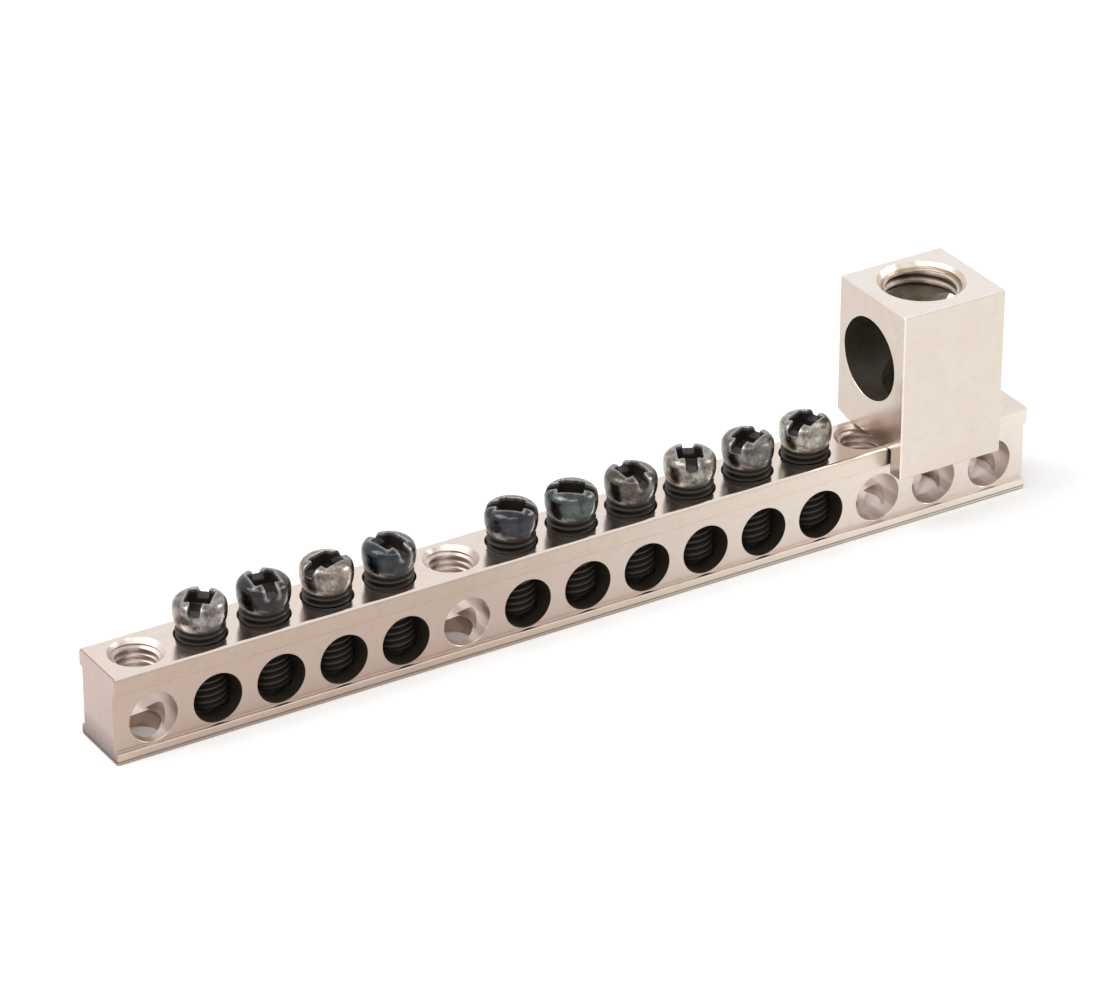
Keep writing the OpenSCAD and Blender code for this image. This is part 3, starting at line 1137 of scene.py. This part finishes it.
# Painted light: the olive film on the plain wall below the lug's thread.
lug_film_painted_light = painted_bore_shade("lug_film_painted_light", OLIVE_PAINTED_LIGHT, (0.20, 0.18, 0.12))
print("made", port_painted_shade.name, lug_bore_painted_shade.name, "and", lug_film_painted_light.name)

# %% [markdown]
# The terminal screws look like blackened steel with oil on it. In the photograph some heads are
# nearly black and others a warm grey, so each screw has a tint of its own, and one function makes
# the rest of the finish. The numbers kept on the mesh say where steel shows through, where the
# recess is painted black as shade and where the thread is. Each head is also darkened toward its
# neck, which is painted shade. A thin clear coat gives the dome small sharp highlights. The recess
# has no coat, and the thread has a little of it on its crests.

# %% Blackened steel on the terminal screws
STEEL = (0.36, 0.345, 0.33)
RECESS_SHADE_BLACK = (0.030, 0.023, 0.021)
THREAD_BLACK = (0.030, 0.024, 0.018)
CREST_GREY = (0.048, 0.042, 0.036)
SPECK_SHADE = (0.5, 0.48, 0.46)
NECK_PAINTED_SHADE = (0.4, 0.37, 0.34)
THIN_OXIDE = 3.0
HEAD_ROUGH = 0.28
HEAD_COAT, CREST_COAT, COAT_ROUGH = 0.65, 0.15, 0.14
CREST_FROM, CREST_FULL = 2.96, 3.12


def head_tone(made, tint, recess_shade, scuffs):
    """Thick and thin oxide with painted shade toward the neck and in the recess, and steel where the lips
    are rubbed.
    """
    thin = tuple(min(1.0, THIN_OXIDE * c) for c in tint)
    base = made.blend(made.span(made.cloud(0.5, 4.0, 0.65), 0.44, 0.62), tint, thin)
    base = made.times(made.span(made.cloud(1.7, 3.0, 0.6), 0.48, 0.7), base, SPECK_SHADE)
    # Painted shade: the head darkens toward the neck.
    base = made.times(made.along(2, 0.9, 0.1), base, NECK_PAINTED_SHADE)
    # Painted shade: the bottom of the recess is made black.
    base = made.blend(recess_shade, base, RECESS_SHADE_BLACK)
    rubbed = made.both(made.span(made.mark("worn"), 0.1, 0.8), made.span(scuffs, 0.3, 0.6, 0.25, 1.0))
    return made.blend(rubbed, base, STEEL)


def black_oxide(name, tint):
    """Oiled black oxide, thin and uneven, rubbed through to steel on the lips of the recess."""
    made = Shading(name, tint, HEAD_ROUGH)
    thread, recess_shade = made.mark("thread"), made.mark("recess_shade")
    scuffs = made.cloud(2.2, 3.0, 0.6)
    crest = made.both(thread, made.from_axis(0, 0, CREST_FROM, CREST_FULL))
    base = made.blend(thread, head_tone(made, tint, recess_shade, scuffs), THREAD_BLACK)
    made.give("Base Color", made.blend(crest, base, CREST_GREY))
    dull = maths(made.tree, "MAXIMUM", thread, recess_shade)
    made.give("Metallic", made.span(dull, 0, 1, 1.0, 0.0))
    made.give("Coat Weight", made.either(crest, made.span(dull, 0, 1, HEAD_COAT, 0.0), CREST_COAT))
    made.give("Coat Roughness", COAT_ROUGH)
    made.give("Specular IOR Level", 0.2)
    gloss = made.span(scuffs, 0.3, 0.7, HEAD_ROUGH - 0.06, HEAD_ROUGH + 0.1)
    made.give("Roughness", made.either(dull, gloss, made.span(scuffs, 0, 1, 0.34, 0.44)))
    made.give("Normal", made.bump(scuffs, 0.012))
    return made.material


SCREW_TINTS = (
    (0.120, 0.104, 0.096), (0.008, 0.0065, 0.0065), (0.135, 0.108, 0.090), (0.0095, 0.0120, 0.0140),
    (0.010, 0.0100, 0.0125), (0.026, 0.032, 0.029), (0.036, 0.030, 0.023), (0.130, 0.117, 0.102),
    (0.076, 0.068, 0.061), (0.175, 0.162, 0.140),
)
screw_finishes = [black_oxide(f"black_oxide_{k + 1:02d}", tint) for k, tint in enumerate(SCREW_TINTS)]
print("made", len(screw_finishes), "screw finishes")

# %% [markdown]
# The screw that holds the lug down stands in the dark of the big bore, and the photograph doesn't
# show it. Its look is a guess: plated steel that has gone dull. Its plain solid is enough there, so
# it keeps that and only gets a finish.

# %% Zinc plate on the fixing screw


def zinc_plate():
    """Dull plate with pale and dark patches."""
    made = Shading("zinc_plate", (0.12, 0.11, 0.09), 0.35)
    cloud = made.cloud(1.2, 4.0, 0.6)
    made.give("Base Color", made.blend(cloud, (0.07, 0.062, 0.05), (0.16, 0.15, 0.12)))
    made.give("Roughness", made.span(cloud, 0.3, 0.7, 0.28, 0.45))
    made.give("Normal", made.bump(cloud, 0.02))
    return made.material


fixing_screw = frame["nodes"]["lug_fixing_screw"]
fixing_screw.data.materials.clear()
fixing_screw.data.materials.append(zinc_plate())
print("the fixing screw keeps its solid and gets", fixing_screw.data.materials[0].name)

# %% [markdown]
# ## Putting it together
# Each finished mesh is scaled to metres, smoothed where it is round and kept crisp where two faces
# meet. Cutting leaves slivers in round walls, and their own directions would crease the light
# there. A finer mesh would only leave more of them, so the points of such a wall are told to look
# at the true axis of the round instead.

# %% Smooth the round walls
CRISP = math.radians(28)
WALL_TOLERANCE = 0.012
WALL_FACING = 0.9


def finished(made, materials):
    """Scales a mesh to metres, gives it its materials and smooths all but its sharp edges."""
    made.data.transform(Matrix.Scale(MM, 4))
    made.data.materials.clear()
    for material in materials:
        made.data.materials.append(material)
    for face in made.data.polygons:
        face.material_index = 0
    made.data.shade_smooth()
    made.data.set_sharp_from_angle(angle=CRISP)
    even = made.modifiers.new("even", "WEIGHTED_NORMAL")
    even.keep_sharp = True
    settled(made)


def toward_axis(point, centre):
    """Straight from a point to the axis of a round. The centre is None along that axis."""
    return Vector([0 if c is None else c - p for c, p in zip(centre, point)])


def in_wall(face, inward, radius):
    """Whether a face is part of a round wall, by the places of its points and the way it looks."""
    near = all(abs(v.length - radius) < WALL_TOLERANCE for v in inward)
    return near and abs(face.normal.dot(inward[0].normalized())) > WALL_FACING


def trued(made, walls):
    """Gives the points of plain round walls the direction of the true round. Each wall is a centre
    and a radius, in millimetres."""
    mesh = made.data
    directions = [corner.vector.copy() for corner in mesh.corner_normals]
    for face in mesh.polygons:
        points = [mesh.vertices[i].co / MM for i in face.vertices]
        for centre, radius in walls:
            inward = [toward_axis(point, centre) for point in points]
            if in_wall(face, inward, radius):
                for loop, v in zip(face.loop_indices, inward):
                    directions[loop] = v.normalized()
                break
    mesh.normals_split_custom_set(directions)


print("edges sharper than", round(math.degrees(CRISP)), "degrees stay crisp")

# %% [markdown]
# The walls of the holes need other finishes than the outside. They could be picked by hand, but
# the cutting gives each face a new number whenever a size changes. A face's place never misleads,
# so each face is asked where it lies.

# %% Where each finish lies
HOLE_REACH = 3.8
SLACK = 0.02
PORT_SLACK = 0.01
PILOT_SLACK = 0.03
JUST_INSIDE = 0.001


def beside(x, places):
    """Whether a place along the bar is in a hole at one of these places."""
    return min(abs(x - place) for place in places) < HOLE_REACH


def bar_lining(face):
    """0 for the bar's outside, 1 for a bare wall, 2 for painted shade where a screw stands, 3 for a
    mounting hole, which is painted darker as shade too.
    """
    x, y, z = face.center / MM
    off_centre = min(abs(x - place) for place in ports.values())
    from_screw_axis = math.hypot(off_centre, y)
    in_port = math.hypot(off_centre, z - PORT_Z) < PORT_R + PORT_RIM - PORT_SLACK
    in_port = in_port and abs(y) < FACE_Y - JUST_INSIDE
    in_screw_hole = from_screw_axis < SCREW_HOLE_R + MOUTH - SLACK
    in_screw_hole = in_screw_hole and JUST_INSIDE < z < BAR_H - JUST_INSIDE
    if not (in_port or in_screw_hole):
        return 0
    if beside(x, screw_places.values()):
        return 2
    in_pilot = abs(from_screw_axis - PILOT_R) < PILOT_SLACK and z < TAP_Z
    return 3 if in_pilot and beside(x, [ports[n] for n in MOUNTED]) else 1


def lug_lining(face):
    """0 for the lug's outside, 1 for its tapped wall, 2 for painted shade in the bore, 3 for painted
    light on the wall below the thread.
    """
    x, y, z = face.center / MM
    from_tap = math.hypot(x - lug_x, y - LUG_BORE_Y)
    from_bore = math.hypot(y - LUG_BORE_Y, z - LUG_BORE_Z)
    if from_bore < LUG_BORE_R + SLACK and abs(face.normal.x) < 0.5:
        return 2
    if from_tap < SET_THREAD_R + SLACK and z < SET_THREAD_LOW:
        return 3 if z > LUG_BORE_Z else 2
    return 1 if from_tap < SET_THREAD_R + SET_MOUTH - SLACK and z < lug_high.z - SLACK else 0


def lined(made, lining):
    """Gives each face the finish of its place, and says how many faces each finish has."""
    for face in made.data.polygons:
        face.material_index = lining(face)
    counts = {material.name: 0 for material in made.data.materials}
    for face in made.data.polygons:
        counts[made.data.materials[face.material_index].name] += 1
    return counts


print("holes reach", HOLE_REACH, "mm to either side")

# %% [markdown]
# Now each piece is tied to the body that it moves with. The bar comes first.

# %% Fasten the bar
finished(bar, [bar_tin, bar_bores, port_painted_shade, pilot_bores_painted_shade])
print("bar faces:", lined(bar, bar_lining))
port_walls = [((x, None, PORT_Z), PORT_R) for x in ports.values()]
screw_walls = [((x, 0, None), radius) for x in ports.values() for radius in (SCREW_HOLE_R, PILOT_R)]
trued(bar, port_walls + screw_walls)
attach(bar, "bar")
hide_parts("terminal_bar")

# %% [markdown]
# On the real object a screw holds the lug down on the bar. The two don't move against each other,
# so the lug rides on the bar's body as well.

# %% Fasten the lug
finished(lug, [lug_tin, lug_bores, lug_bore_painted_shade, lug_film_painted_light])
print("lug faces:", lined(lug, lug_lining))
trued(lug, [((None, LUG_BORE_Y, LUG_BORE_Z), LUG_BORE_R), ((lug_x, LUG_BORE_Y, None), SET_THREAD_R)])
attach(lug, "bar")
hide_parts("lug")

# %% [markdown]
# The screws run up and down, so each copy rides on a body of its own. Its origin is at the
# underside of its head, and the turn about the upright axis is read from the photograph.

# %% Fasten the terminal screws
HEAD_CRISP = math.radians(50)
SLOT_TURNS = (48, 82, 16, 102, 140, 143, 91, 63, 27, 25)

pattern.data.transform(Matrix.Scale(MM, 4))
for node, turn, finish in zip(screw_nodes, SLOT_TURNS, screw_finishes):
    mesh = pattern.data.copy()
    mesh.materials.clear()
    mesh.materials.append(finish)
    mesh.shade_smooth()
    mesh.set_sharp_from_angle(angle=HEAD_CRISP)
    screw = bpy.data.objects.new(node.replace("terminal_screw", "clamp_screw"), mesh)
    scene.collection.objects.link(screw)
    screw.location = (screw_places[node] * MM, 0, (screw_boxes[node][1].z - HEAD_H) * MM)
    screw.rotation_euler.z = math.radians(turn)
    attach(screw, node)
    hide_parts(node)
bpy.data.objects.remove(pattern)
